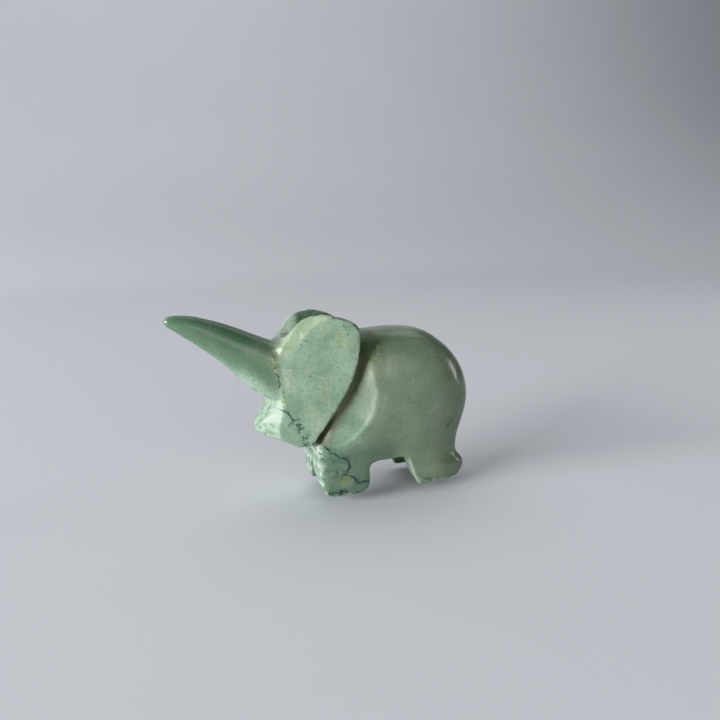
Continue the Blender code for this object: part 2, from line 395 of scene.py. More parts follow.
def neck():
    """An upright egg that fills the space between head and body."""
    shape = bmesh.new()
    bmesh.ops.create_uvsphere(shape, u_segments=32, v_segments=20, radius=1)
    bmesh.ops.scale(shape, vec=NECK_RADII, verts=shape.verts)
    bmesh.ops.translate(shape, vec=NECK_CENTRE, verts=shape.verts)
    add_mesh("neck_mass", shape, MASSES)


def crown_channel():
    """The hollow between the ears: it opens wide at the brow and is narrowest at the crown."""
    stations = []
    for x, radius, centre in through(CROWN_CHANNEL, 3):
        angles = [math.tau * k / CHANNEL_SIDES for k in range(CHANNEL_SIDES)]
        stations.append(
            [(x, radius * math.cos(a), centre + radius * math.sin(a)) for a in angles]
        )
    strip("crown_channel", stations, CUTS)


def neck_groove(side):
    """A narrow floor against the ear's rear edge, then a slope up to the shoulder."""
    stations = []
    for ear_x, ear_z, rim_x, rim_z, half_width in through(GROOVE_STATIONS, 4):
        floor = min(GROOVE_HALF_WIDTH, half_width - 0.6)
        stations.append([
            (ear_x, side * PAST_SIDE, ear_z),
            (ear_x, side * floor, ear_z),
            (ear_x + GROOVE_FLOOR_WIDTH, side * floor, ear_z - 0.2),
            (rim_x - 1.2, side * (half_width - 0.75), rim_z + 0.1),
            (rim_x + 0.4, side * (half_width + 0.4), rim_z),
            (rim_x + 1.6, side * PAST_SIDE, rim_z),
        ])
    strip("neck_groove_%d" % side, stations, CUTS)


def ear_bevel(side):
    """A slanting cut from the ear's face down to the channel, along the ear's front edge."""
    stations = []
    for face_x, face_z, inner_x, inner_z in through(EAR_BEVEL_STATIONS, 4):
        on_face = Vector((face_x, side * head_half_width(face_x), face_z))
        inside = Vector((inner_x, side * EAR_BEVEL_INNER_Y, inner_z))
        along = on_face - inside
        start = inside - along * 0.25
        end = on_face + along * 0.6
        away = Vector((-2.6, 0, 2.6))
        stations.append([start, end, end + away + Vector((0, side * 2, 0)), start + away])
    strip("ear_bevel_%d" % side, stations, CUTS)


def arch(name, half_view, first_x, last_x):
    """An end-view opening between the left and right legs, cut along X."""
    corners = half_view + [(-y, z) for y, z in reversed(half_view)]
    stations = [[(x, y, z) for y, z in corners] for x in (first_x, last_x)]
    strip(name, stations, CUTS)


def boolean(target, operation, collection):
    """Joins or cuts with everything in a collection. It needs the hole tolerant setting."""
    step = target.modifiers.new(operation.lower(), "BOOLEAN")
    step.operation = operation
    step.operand_type = "COLLECTION"
    step.collection = collection
    step.solver = "EXACT"
    step.use_hole_tolerant = True


def evaluated(target):
    """The target's mesh with its modifiers applied, as a new mesh."""
    graph = bpy.context.evaluated_depsgraph_get()
    return bpy.data.meshes.new_from_object(target.evaluated_get(graph))


def carve():
    """The whole carving as one fine mesh, before any tool marks."""
    carving = head()
    body()
    trunk()
    jaw()
    neck()
    crown_channel()
    for side in (-1, 1):
        neck_groove(side)
        ear_bevel(side)
    add_mesh("belly_gap", plate(BELLY_GAP_OUTLINE, -PAST_SIDE, PAST_SIDE), CUTS)
    add_mesh("chest_gap", plate(CHEST_OUTLINE, -PAST_SIDE, PAST_SIDE), CUTS)
    arch("front_arch", FRONT_ARCH, *FRONT_ARCH_ENDS)
    arch("hind_arch", HIND_ARCH, *HIND_ARCH_ENDS)
    boolean(carving, "UNION", MASSES)
    boolean(carving, "DIFFERENCE", CUTS)
    grain = carving.modifiers.new("grain", "REMESH")
    grain.mode = "VOXEL"
    grain.voxel_size = GRAIN * MM
    rounding = carving.modifiers.new("rounding", "SMOOTH")
    rounding.factor = 0.5
    rounding.iterations = 2
    mesh = evaluated(carving)
    for group in (PIECES, MASSES, CUTS):
        for old in list(group.objects):
            bpy.data.objects.remove(old, do_unlink=True)
    drop_crumbs(mesh)
    return mesh


def drop_crumbs(mesh):
    """Removes loose crumbs of the skin, which have only a few corners."""
    shape = bmesh.new()
    shape.from_mesh(mesh)
    waiting = set(shape.verts)
    while waiting:
        island = []
        edge_of_island = [waiting.pop()]
        while edge_of_island:
            corner = edge_of_island.pop()
            island.append(corner)
            for edge in corner.link_edges:
                other = edge.other_vert(corner)
                if other in waiting:
                    waiting.remove(other)
                    edge_of_island.append(other)
        if len(island) < CRUMB_CORNERS:
            bmesh.ops.delete(shape, geom=island, context="VERTS")
    shape.to_mesh(mesh)
    shape.free()


# ---------------------------------------------------------------------------------------------
# Tool marks and wear, moved straight into the mesh.
# ---------------------------------------------------------------------------------------------
def arrays(mesh):
    """Positions and normals in millimetres of the drawing, and the edges."""
    count = len(mesh.vertices)
    place = np.empty(count * 3, np.float64)
    normal = np.empty(count * 3, np.float64)
    edges = np.empty(len(mesh.edges) * 2, np.int64)
    mesh.vertices.foreach_get("co", place)
    mesh.vertices.foreach_get("normal", normal)
    mesh.edges.foreach_get("vertices", edges)
    place = place.reshape(-1, 3) / MM - (SHIFT_X, 0, 0)
    return place, normal.reshape(-1, 3), edges.reshape(-1, 2)


def blurred(values, edges, times):
    """Each vertex's values averaged with its neighbours' so many times."""
    degree = np.bincount(edges.ravel(), minlength=len(values)).astype(float)
    flat = values.reshape(len(values), -1)
    for _ in range(times):
        total = np.zeros_like(flat)
        for column in range(flat.shape[1]):
            total[:, column] = np.bincount(
                edges[:, 0], flat[edges[:, 1], column], len(values)
            ) + np.bincount(edges[:, 1], flat[edges[:, 0], column], len(values))
        flat = 0.5 * flat + 0.5 * total / degree[:, None]
    return flat.reshape(values.shape)


def bend_of(place, normal, edges, times):
    """How hollow the surface is at each vertex, in millimetres: negative on a ridge."""
    return ((blurred(place, edges, times) - place) * normal).sum(axis=1)


def lumps(place, size, seed):
    """Soft noise from -1 to 1 whose lumps are about this many millimetres across."""
    offset = Vector((seed * 13.1, seed * 7.7, seed * 3.3))
    return np.array([noise.noise(Vector(p) / size + offset) for p in place.tolist()])


def smooth_step(values, low, high):
    t = np.clip((values - low) / (high - low), 0, 1)
    return t * t * (3 - 2 * t)


def set_places(mesh, place):
    mesh.vertices.foreach_set("co", ((place + (SHIFT_X, 0, 0)) * MM).ravel())
    mesh.update()


def wear(mesh):
    """Uneven hand polishing, and ridges chipped most at the feet and the ears' rims."""
    place, normal, edges = arrays(mesh)
    ridge = smooth_step(-bend_of(place, normal, edges, 8), 0.05, 0.16)
    ridge = blurred(ridge, edges, 1)
    polish = POLISH_WAVE * lumps(place, 4.2, 1) + POLISH_RIPPLE * lumps(place, 1.9, 2)
    chip = smooth_step(lumps(place, 0.9, 3) + 0.5 * lumps(place, 2.6, 4), 0.18, 0.55)
    low = smooth_step(2.2 - place[:, 2], 0, 1.6)
    ear_rim = smooth_step(place[:, 0], -3.5, 1.5) * smooth_step(place[:, 2], 28.0, 30.5)
    amount = CHIP_DEPTH + EXTRA_CHIP_AT_FEET * low + EXTRA_CHIP_AT_EARS * ear_rim
    place = place + normal * (polish - ridge * chip * amount)[:, None]
    set_places(mesh, place)


def cut_soles(mesh):
    """Cuts everything below the ground off flat and closes the soles."""
    shape = bmesh.new()
    shape.from_mesh(mesh)
    everything = list(shape.verts) + list(shape.edges) + list(shape.faces)
    bmesh.ops.bisect_plane(
        shape, geom=everything, plane_co=(0, 0, 0), plane_no=(0, 0, 1), clear_inner=True
    )
    bmesh.ops.holes_fill(shape, edges=[edge for edge in shape.edges if edge.is_boundary])
    bmesh.ops.triangulate(shape, faces=[face for face in shape.faces if len(face.verts) > 4])
    shape.to_mesh(mesh)
    shape.free()


def store(mesh, name, values):
    layer = mesh.attributes.new(name, "FLOAT", "POINT")
    layer.data.foreach_set("value", values.astype(np.float32))


def segment_gap(place, first, step):
    """Each place's offset from a segment's start, its share of the way along and its distance."""
    away = place - first
    share = np.clip(away @ step / (step @ step), 0, 1)
    gap = np.hypot(away[:, 0] - share * step[0], away[:, 1] - share * step[1])
    return away, share, gap


def line_field(place, corners):
    """Distance from a broken line in the XZ plane, with opposite signs on its two sides.

    It grows towards the line's ends and past them, so that a drawn line tapers away there.
    """
    points = np.array(corners, float)
    steps = points[1:] - points[:-1]
    lengths = np.hypot(steps[:, 0], steps[:, 1])
    start = 0.0
    best = np.full(len(place), FAR_AWAY)
    signed = np.ones(len(place))
    where = np.zeros(len(place))
    for first, step, length in zip(points, steps, lengths):
        away, share, gap = segment_gap(place, first, step)
        nearer = gap < best
        best[nearer] = gap[nearer]
        signed[nearer] = np.sign(away @ (-step[1], step[0]))[nearer]
        where[nearer] = (start + share * length)[nearer]
        start += length
    taper = np.clip(np.minimum(where, start - where) / VEIN_TAPER_LENGTH, 0.004, 1)
    return signed * np.minimum(best / taper, VEIN_FIELD_LIMIT)


def zone_field(place, corners, radius, soft):
    """1 near a broken line in the XZ plane, fading to 0 at the radius."""
    points = np.array(corners, float)
    best = np.full(len(place), FAR_AWAY)
    for first, last in zip(points, points[1:]):
        best = np.minimum(best, segment_gap(place, first, last - first)[2])
    return 1 - smooth_step(best, radius - soft, radius)


def mark_veins(mesh):
    """Stores how far each vertex is from the veins, and where the stone is tinted.

    The stone's layers lean, so each vein is a sheet that comes out further forward on the
    right side than on the left.
    """
    place = arrays(mesh)[0]
    seen = place[:, (0, 2)].copy()
    seen[:, 0] += VEIN_LEAN * place[:, 1] + VEIN_SHIFT
    seen[:, 0] += VEIN_WANDER * lumps(place, WANDER_SIZE, 5)
    seen[:, 1] += VEIN_WANDER * lumps(place, WANDER_SIZE, 6)
    for name, lines in VEINS.items():
        fields = [line_field(seen, line) for line in lines]
        layer = mesh.attributes.new(name, "FLOAT_VECTOR", "POINT")
        layer.data.foreach_set("vector", np.stack(fields, axis=1).ravel().astype(np.float32))
    for name, zones in ZONES.items():
        fields = [zone_field(seen, *zone) for zone in zones]
        store(mesh, name, np.max(fields, axis=0))


def mark_bends(mesh):
    """Stores where the surface is hollow, for grime and painted shade, and where it is ridged, for
    wear.
    """
    place, normal, edges = arrays(mesh)
    wide = bend_of(place, normal, edges, 26)
    fine = bend_of(place, normal, edges, 6)
    store(mesh, "hollow", smooth_step(blurred(wide, edges, 2), 0.04, 0.26))
    store(mesh, "ridge", smooth_step(-blurred(fine, edges, 1), 0.04, 0.15))


# ---------------------------------------------------------------------------------------------
# The stone.
# ---------------------------------------------------------------------------------------------
# Veins seen from the left side, as x and z of their corners, three to a stored field.
VEINS = {
    "dark_veins": (
        [(-9.6, 16.8), (-8.7, 16.1), (-7.8, 15.2), (-7.1, 14.6), (-6.6, 14.2)],
        [
            (-2.6, 11.4),
            (-2.3, 9.2),
            (-1.9, 8.4),
            (-0.8, 7.8),
            (0.2, 7.0),
            (1.6, 6.1),
            (1.8, 5.3),
            (1.2, 4.6),
            (0.5, 3.9),
            (1.5, 3.4),
            (2.6, 3.0),
            (3.2, 2.0),
            (4.0, 2.2),
            (5.6, 1.7),
        ],
        [(21.9, 12.0), (20.8, 10.8), (20.0, 9.6)],
    ),
    "small_veins": (
        [(-7.1, 14.7), (-8.2, 14.0), (-8.6, 13.1)],
        [(-6.3, 28.6), (-4.9, 28.3), (-3.6, 27.5)],
        [(-10.2, 26.4), (-9.8, 23.9), (-9.5, 22.2), (-9.4, 20.5), (-8.9, 18.5), (-8.7, 16.4)],
    ),
    "pale_veins": (
        [(-10.2, 23.6), (-7.1, 23.2), (-4.7, 22.5), (-2.3, 21.8), (1.6, 21.6)],
        [(-2.6, 22.1), (-2.0, 20.2), (-1.8, 18.5), (-1.9, 16.0), (-2.1, 13.6)],
        [(-2.1, 20.6), (0.4, 18.6)],
    ),
}

# Tinted zones: corners of a line through each, its radius and how softly it ends.
ZONES = {
    "yellow_rim": [
        ([(-9.6, 25.6), (-7.4, 27.6), (-6.2, 29.6), (-4.2, 31.3), (-0.6, 32.0)], 1.9, 1.5),
    ],
    "yellow_patch": [
        ([(-1.6, 28.7), (1.0, 27.8)], 2.2, 2.0),
        ([(-1.8, 1.8), (0.8, 2.6)], 1.7, 1.4),
        ([(-11.3, 26.2), (-10.9, 24.6)], 1.4, 1.2),
        ([(-3.9, 16.0), (-2.4, 19.0)], 1.8, 1.8),
    ],
    "speckled_vein": [
        ([(9.3, 28.7), (8.2, 26.7), (7.0, 24.6), (5.7, 22.5), (5.0, 21.4)], 0.9, 0.8),
    ],
    # Painted shade in the upper shoulder hollow, which is also duller.
    "shoulder": [
        ([(6.5, 29.0), (5.8, 24.0), (4.6, 19.0), (2.0, 13.0), (-1.0, 9.6)], 3.2, 1.2),
    ],
    # Brown dirt and painted shade down the neck groove.
    "groove_dirt_and_shade": [
        (
            [
                (5.2, 31.5),
                (5.0, 28.0),
                (4.7, 25.0),
                (3.8, 21.8),
                (2.3, 18.4),
                (0.1, 14.6),
                (-2.1, 11.4),
                (-3.6, 9.8),
            ],
            2.0,
            1.7,
        ),
    ],
    # Painted shade in the crook of trunk and brow, which is also duller.
    "crook": [
        ([(-11.4, 27.2), (-10.2, 26.6), (-9.6, 25.8)], 1.5, 1.3),
    ],
    # Painted highlight down the front edge of each hind leg.
    "hind_edge_highlight": [
        ([(13.3, 3.9), (14.0, 1.8), (14.9, 0.2)], 0.45, 0.35),
    ],
    "chipped_rim": [
        ([(-0.4, 32.2), (2.4, 31.3), (3.8, 29.9), (4.1, 28.4)], 0.75, 0.5),
    ],
    "dark_blots": [
        ([(-6.9, 14.2), (-6.6, 13.1), (-6.3, 11.9), (-6.0, 11.0), (-5.6, 9.7)], 1.0, 0.8),
        ([(-2.8, 11.3), (-2.5, 9.7), (-1.6, 8.3), (-2.2, 7.0), (-3.2, 6.6), (-1.4, 6.2)], 0.9, 0.8),
        ([(-2.6, 4.2), (-0.8, 4.0)], 0.8, 0.7),
        ([(-1.8, 0.6), (0.6, 0.5), (3.2, 0.3)], 0.9, 0.7),
        ([(15.9, 0.8), (18.2, 0.2), (19.8, 0.0)], 0.9, 0.7),
    ],
}

# Dark veins: half width, how far the haze round each reaches, and strength.
DARK_LINES = {
    "mouth": (0.20, 0.8, 0.8),
    "mouth_branch": (0.15, 0.7, 0.7),
    "leg_zigzag": (0.20, 1.2, 0.8),
    "rump_crack": (0.13, 0.5, 0.8),
    "ear_streak": (0.24, 0.8, 0.35),
}
HAZE_STRENGTH = 0.8

# Colours of the stone.
DEEP_GREEN = (0.225, 0.335, 0.240, 1)
PALE_GREEN = (0.330, 0.435, 0.330, 1)
PALE_MOTTLE = (0.40, 0.49, 0.38, 1)
DARK_MOTTLE = (0.160, 0.265, 0.170, 1)
# The trunk's deeper green, darkened further with painted shade.
TRUNK_GREEN_AND_SHADE = (0.085, 0.150, 0.088, 1)
BODY_GREY = (0.222, 0.250, 0.172, 1)
# Painted shade on the rump.
RUMP_PAINTED_SHADE = (0.125, 0.135, 0.090, 1)
DARK_BLOTCH = (0.120, 0.215, 0.160, 1)
WHITE_BLOTCH = (0.520, 0.620, 0.500, 1)
# Painted shade on the sides of the front legs.
LEG_SIDE_PAINTED_SHADE = (0.105, 0.165, 0.120, 1)
RIM_YELLOW = (0.400, 0.480, 0.290, 1)
# Painted light on the right side of the brow.
BROW_PAINTED_LIGHT = (0.460, 0.560, 0.450, 1)
PATCH_YELLOW = (0.400, 0.430, 0.160, 1)
OCHRE_HAIRLINE = (0.520, 0.470, 0.290, 1)
# Painted highlight down the front edge of each hind leg.
HIND_EDGE_PAINTED_HIGHLIGHT = (0.42, 0.50, 0.40, 1)
VEIN_DARK = (0.022, 0.050, 0.046, 1)
HAZE_DARK = (0.055, 0.100, 0.080, 1)
DARK_SPECK = (0.050, 0.090, 0.075, 1)
PALE_SPECK = (0.50, 0.58, 0.44, 1)
DARK_GRAIN = (0.12, 0.20, 0.13, 1)
# Dirt and painted shade in the hollows.
HOLLOW_DIRT_AND_SHADE = (0.140, 0.140, 0.090, 1)
CREASE_DARK = (0.05, 0.075, 0.03, 1)
CREASE_YELLOW = (0.42, 0.44, 0.12, 1)
CHIP_DARK = (0.022, 0.036, 0.022, 1)
# Brown dirt and painted shade in the neck groove.
GROOVE_DIRT_AND_SHADE = (0.195, 0.185, 0.125, 1)
# Dark green stone and painted shade on the right ear's inner face.
FAR_EAR_DARK_AND_SHADE = (0.070, 0.110, 0.080, 1)
# Painted shade in the shoulder hollow and the crook.
HOLLOW_SHADE = (0.135, 0.160, 0.105, 1)
SPECKLED_YELLOW = (0.42, 0.45, 0.20, 1)
WORN_PALE = (0.600, 0.680, 0.500, 1)


class Graph:
    """Short calls that build one material's nodes."""

    def __init__(self, name):
        self.material = bpy.data.materials.new(name)
        self.material.use_nodes = True
        self.tree = self.material.node_tree
        self.shader = self.tree.nodes["Principled BSDF"]

    def put(self, socket, value):
        if isinstance(value, bpy.types.NodeSocket):
            self.tree.links.new(value, socket)
        else:
            socket.default_value = value

    def node(self, kind, *values, **settings):
        made = self.tree.nodes.new(kind)
        for name, value in settings.items():
            setattr(made, name, value)
        for socket, value in zip(made.inputs, values):
            if value is not None:
                self.put(socket, value)
        return made

    def math(self, operation, a, b=None, c=None):
        return self.node("ShaderNodeMath", a, b, c, operation=operation).outputs[0]

    def times(self, a, b):
        return self.math("MULTIPLY", a, b)

    def vector(self, operation, a, b=None):
        return self.node("ShaderNodeVectorMath", a, b, operation=operation).outputs[0]

    def smooth(self, value, low, high):
        made = self.node("ShaderNodeMapRange", value, low, high, interpolation_type="SMOOTHSTEP")
        return made.outputs[0]

    def noise(self, place, size, detail=2.0, roughness=0.5):
        """A noise node with lumps of about this size."""
        made = self.node("ShaderNodeTexNoise")
        self.put(made.inputs["Vector"], place)
        self.put(made.inputs["Scale"], 1 / size)
        self.put(made.inputs["Detail"], detail)
        self.put(made.inputs["Roughness"], roughness)
        return made

    def grain(self, place, size, detail=2.0, roughness=0.5):
        """Noise from 0 to 1 with lumps of about this size."""
        return self.noise(place, size, detail, roughness).outputs["Fac"]

    def cells(self, place, size):
        """Distance to the nearest of scattered points, in cell sizes."""
        made = self.node("ShaderNodeTexVoronoi")
        self.put(made.inputs["Vector"], place)
        self.put(made.inputs["Scale"], 1 / size)
        return made.outputs["Distance"]

    def mix(self, amount, a, b):
        made = self.tree.nodes.new("ShaderNodeMix")
        made.data_type = "RGBA"
        self.put(made.inputs["Factor"], amount)
        self.put(made.inputs[6], a)
        self.put(made.inputs[7], b)
        return made.outputs[2]

    def tint(self, colour, part, strength, other):
        """Turns a part of the surface towards another colour."""
        return self.mix(self.times(part, strength), colour, other)

    def attribute(self, name):
        return self.node("ShaderNodeAttribute", attribute_name=name).outputs["Fac"]

    def fields(self, name):
        """The three fields that are stored together under one name."""
        stored = self.node("ShaderNodeAttribute", attribute_name=name).outputs["Vector"]
        return self.node("ShaderNodeSeparateXYZ", stored).outputs


def stone():
    g = Graph("green_stone")
    object_place = g.node("ShaderNodeTexCoord").outputs["Object"]
    scaled = g.node("ShaderNodeVectorMath", object_place, operation="SCALE")
    scaled.inputs["Scale"].default_value = 1 / MM
    p = g.vector("SUBTRACT", scaled.outputs[0], (SHIFT_X, 0, 0))
    split = g.node("ShaderNodeSeparateXYZ", p)
    x, y, z = split.outputs

    # A little raggedness that is finer than the mesh.
    ragged = g.math("MULTIPLY_ADD", g.grain(p, 0.35, 3.0, 0.6), 0.44, -0.22)
    presence = g.smooth(g.grain(p, 1.5, 2.0), 0.30, 0.55)

    def vein(field, half_width):
        """A line whose width comes and goes along it, from 0 to 1."""
        gap = g.math("ABSOLUTE", g.math("ADD", field, ragged))
        width = g.math("MULTIPLY_ADD", presence, half_width, half_width * 0.2)
        return g.smooth(g.math("DIVIDE", gap, width), 1.0, 0.35)

    def mouth_height():
        """Height above a line that runs parallel to the mouth."""
        return g.math("MULTIPLY_ADD", x, 0.62, z)

    mouth, leg_zigzag, rump_crack = g.fields("dark_veins")
    mouth_branch, ear_streak, crease = g.fields("small_veins")
    ear_cross, ear_down, ear_side = g.fields("pale_veins")

    # Ground colour: clouds of paler and deeper green.
    clouds = g.grain(p, 7.0, 4.0, 0.55)
    mottle = g.grain(p, 2.8, 4.0, 0.52)
    fine = g.grain(p, 0.55, 3.0, 0.6)
    colour = g.mix(g.smooth(clouds, 0.36, 0.66), DEEP_GREEN, PALE_GREEN)
    colour = g.tint(colour, g.smooth(mottle, 0.50, 0.68), 0.35, PALE_MOTTLE)
    colour = g.tint(colour, g.smooth(mottle, 0.50, 0.32), 0.40, DARK_MOTTLE)

    # The trunk is a deeper, more saturated green that also holds painted shade; the body is greyer;
    # painted shade darkens the rump.
    on_trunk = g.smooth(x, -8.8, -11.5)
    above_jaw = g.smooth(mouth_height(), 11.6, 15.0)
    trunk_part = g.times(on_trunk, above_jaw)
    colour = g.tint(colour, trunk_part, 0.66, TRUNK_GREEN_AND_SHADE)
    on_body = g.smooth(x, 1.0, 8.0)
    colour = g.tint(colour, on_body, 0.6, BODY_GREY)
    # Painted shade on the rump.
    colour = g.tint(colour, g.smooth(x, 15.0, 25.0), 0.45, RUMP_PAINTED_SHADE)

    # Whitish stone in the jaw and down the fronts of the front legs.
    under_mouth = g.smooth(mouth_height(), 12.4, 11.2)
    jaw_part = g.times(g.smooth(x, -9.0, -11.4), under_mouth)
    leg_front = g.times(g.smooth(x, -2.0, -3.2), g.smooth(z, 9.4, 8.8))
    white_part = g.math("MAXIMUM", g.times(jaw_part, 0.42), g.times(leg_front, 0.8))
    blotch = g.smooth(g.grain(p, 1.0, 4.0, 0.65), 0.44, 0.57)
    colour = g.tint(colour, white_part, g.math("SUBTRACT", 1.0, blotch), DARK_BLOTCH)
    colour = g.tint(colour, white_part, blotch, WHITE_BLOTCH)

    # Painted shade down the sides of the front legs and the low side of the body behind them.
    leg_side_shade = g.times(g.smooth(z, 10.5, 6.5), g.smooth(x, -3.4, -2.0))
    colour = g.tint(colour, g.times(leg_side_shade, g.smooth(x, 12.0, 9.0)), 0.65, LEG_SIDE_PAINTED_SHADE)

    # The left ear's yellowish rim, painted light on the right side of the brow, yellow-green
    # patches.
    rim = g.times(g.attribute("yellow_rim"), g.smooth(g.math("ABSOLUTE", y), 7.4, 6.4))
    rim = g.times(rim, g.smooth(y, 2.0, -2.0))
    colour = g.tint(colour, rim, 0.5, RIM_YELLOW)
    brow = g.times(g.smooth(x, -4.2, -5.0), g.smooth(z, 26.8, 28.4))
    brow = g.times(brow, g.smooth(y, 0.0, 2.0))
    colour = g.tint(colour, brow, 0.6, BROW_PAINTED_LIGHT)
    patch = g.times(g.attribute("yellow_patch"), g.smooth(mottle, 0.38, 0.6))
    colour = g.tint(colour, patch, 0.3, PATCH_YELLOW)

    # Ochre hairlines in the ears, and a painted highlight down the front edge of each hind leg.
    for line in (ear_cross, ear_down, ear_side):
        colour = g.tint(colour, vein(line, 0.12), 0.5, OCHRE_HAIRLINE)
    colour = g.tint(colour, g.attribute("hind_edge_highlight"), 0.45, HIND_EDGE_PAINTED_HIGHLIGHT)

    # Dark blue-green veins with a haze round them, blots and specks.
    haze_grain = g.smooth(g.grain(p, 0.7, 4.0, 0.65), 0.47, 0.56)
    dark_fields = (mouth, mouth_branch, leg_zigzag, rump_crack, ear_streak)
    for line, (width, haze, strength) in zip(dark_fields, DARK_LINES.values()):
        around = g.times(g.smooth(g.math("ABSOLUTE", line), haze, 0.0), haze_grain)
        colour = g.tint(colour, around, HAZE_STRENGTH * strength, HAZE_DARK)
        colour = g.tint(colour, vein(line, width), strength, VEIN_DARK)
    blots = g.smooth(g.grain(p, 1.0, 4.0, 0.65), 0.49, 0.58)
    blots = g.times(blots, g.times(g.attribute("dark_blots"), 0.85))
    colour = g.mix(blots, colour, VEIN_DARK)
    jitter = g.vector("SUBTRACT", g.noise(p, 0.4, 2.0).outputs["Color"], (0.5, 0.5, 0.5))
    jittered = g.vector("ADD", p, g.vector("MULTIPLY", jitter, (0.5, 0.5, 0.5)))
    scattered = g.cells(jittered, 1.25)
    speck_size = g.math("MULTIPLY_ADD", g.grain(p, 3.0), 0.36, -0.08)
    specks = g.smooth(g.math("SUBTRACT", speck_size, scattered), -0.03, 0.04)
    colour = g.tint(colour, specks, 0.62, DARK_SPECK)
    colour = g.tint(colour, g.smooth(g.cells(p, 1.3), 0.10, 0.05), 0.10, PALE_SPECK)
    dark_grain = g.smooth(fine, 0.52, 0.40)
    grain_strength = g.math("MULTIPLY_ADD", trunk_part, 0.30, 0.20)
    colour = g.tint(colour, dark_grain, grain_strength, DARK_GRAIN)

    # Dirt and painted shade in every hollow, and the crease where the trunk meets the head.
    hollow = g.attribute("hollow")
    ridge = g.attribute("ridge")
    hollow_dirt_and_shade = g.times(hollow, g.math("MULTIPLY_ADD", mottle, 0.5, 0.62))
    colour = g.tint(colour, hollow_dirt_and_shade, 0.3, HOLLOW_DIRT_AND_SHADE)
    crease_line = vein(crease, 0.22)
    crease_colour = g.mix(g.smooth(fine, 0.42, 0.58), CREASE_DARK, CREASE_YELLOW)
    colour = g.tint(colour, crease_line, 0.8, crease_colour)

    # Dark chips on the ears' outer rims. The flare of the ears tells their outer faces apart.
    behind_edge = g.math("MULTIPLY_ADD", x, -EAR_FLARE, g.math("ABSOLUTE", y))
    chip_grain = g.smooth(g.grain(p, 0.7, 3.0, 0.6), 0.42, 0.52)
    chipped = g.times(g.attribute("chipped_rim"), chip_grain)
    chipped = g.times(chipped, g.smooth(behind_edge, 6.1, 6.9))
    colour = g.tint(colour, chipped, 0.95, CHIP_DARK)

    # Brown dirt and painted shade in the neck groove, and dark green stone with painted shade on
    # the inner face of the right ear.
    inner = g.smooth(behind_edge, 6.8, 6.3)
    in_groove = g.times(g.attribute("groove_dirt_and_shade"), inner)
    brown = g.times(in_groove, g.math("MULTIPLY_ADD", mottle, 0.5, 0.45))
    colour = g.mix(brown, colour, GROOVE_DIRT_AND_SHADE)
    # Dark green stone and painted shade on the right ear's inner face.
    far_face = g.times(g.smooth(y, 1.4, 2.6), g.smooth(x, -5.0, -4.2))
    high_inside = g.times(g.smooth(z, 28.0, 29.0), g.smooth(behind_edge, 6.2, 5.6))
    far_face = g.times(far_face, high_inside)
    far_strength = g.math("MULTIPLY_ADD", haze_grain, 0.4, 0.25)
    colour = g.tint(colour, far_face, far_strength, FAR_EAR_DARK_AND_SHADE)

    # Painted shade in the dull upper shoulder hollow and the crook, the speckled vein over them,
    # pale worn ridges.
    shade = g.times(g.attribute("shoulder"), g.smooth(z, 14.0, 23.0))
    shade = g.math("MAXIMUM", g.times(shade, 0.42), g.times(g.attribute("crook"), 0.6))
    colour = g.mix(shade, colour, HOLLOW_SHADE)
    grains = g.smooth(g.grain(p, 0.42, 2.0, 0.6), 0.50, 0.58)
    speckled = g.times(g.attribute("speckled_vein"), grains)
    colour = g.tint(colour, speckled, 0.6, SPECKLED_YELLOW)
    worn = g.times(ridge, g.smooth(g.grain(p, 0.7, 3.0), 0.46, 0.58))
    colour = g.tint(colour, worn, 0.6, WORN_PALE)
    g.put(g.shader.inputs["Base Color"], colour)

    # Polish: glossy, duller in the grooves and where the stone is granular.
    shine = g.grain(p, 3.4, 4.0, 0.6)
    rough = g.math("MULTIPLY_ADD", g.smooth(shine, 0.35, 0.7), 0.10, 0.17)
    rough = g.math("ADD", rough, g.times(g.smooth(fine, 0.5, 0.75), 0.06))
    rough = g.math("ADD", rough, g.times(hollow_dirt_and_shade, 0.30))
    dull = g.math("MAXIMUM", g.attribute("shoulder"), g.attribute("crook"))
    rough = g.math("ADD", rough, g.times(dull, 0.18))
    g.put(g.shader.inputs["Roughness"], rough)
    g.shader.inputs["IOR"].default_value = 1.58
    g.shader.inputs["Subsurface Weight"].default_value = 0.18
    g.shader.inputs["Subsurface Radius"].default_value = (0.8, 1.0, 0.7)
    g.shader.inputs["Subsurface Scale"].default_value = 0.0012

    # Small relief: granular pits, fine scratches, the cracks.
    pits = g.times(g.smooth(g.cells(p, 0.9), 0.16, 0.05), -0.5)
    scratch_place = g.vector("MULTIPLY", p, (0.25, 1.0, 2.2))
    scratches = g.grain(scratch_place, 0.5, 3.0, 0.7)
    unevenness = g.times(g.grain(p, 0.8, 4.0, 0.6), 0.8)
    relief = g.math("MULTIPLY_ADD", scratches, 0.35, unevenness)
    relief = g.math("ADD", relief, pits)
    cracks = g.math("MAXIMUM", vein(mouth, 0.22), vein(leg_zigzag, 0.2))
    relief = g.math("SUBTRACT", relief, g.times(cracks, 1.6))
    bump = g.node("ShaderNodeBump")
    bump.inputs["Strength"].default_value = 0.5
    bump.inputs["Distance"].default_value = 0.00005
    g.put(bump.inputs["Height"], relief)
    g.put(g.shader.inputs["Normal"], bump.outputs["Normal"])
    return g.material


def elephant():
    mesh = carve()
    wear(mesh)
    cut_soles(mesh)
    mark_bends(mesh)
    mark_veins(mesh)
    mesh.shade_smooth()
    mesh.materials.clear()
    mesh.materials.append(stone())
    made = bpy.data.objects.new("stone_carving", mesh)
    PIECES.objects.link(made)
    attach(made, "root")
    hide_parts("elephant")


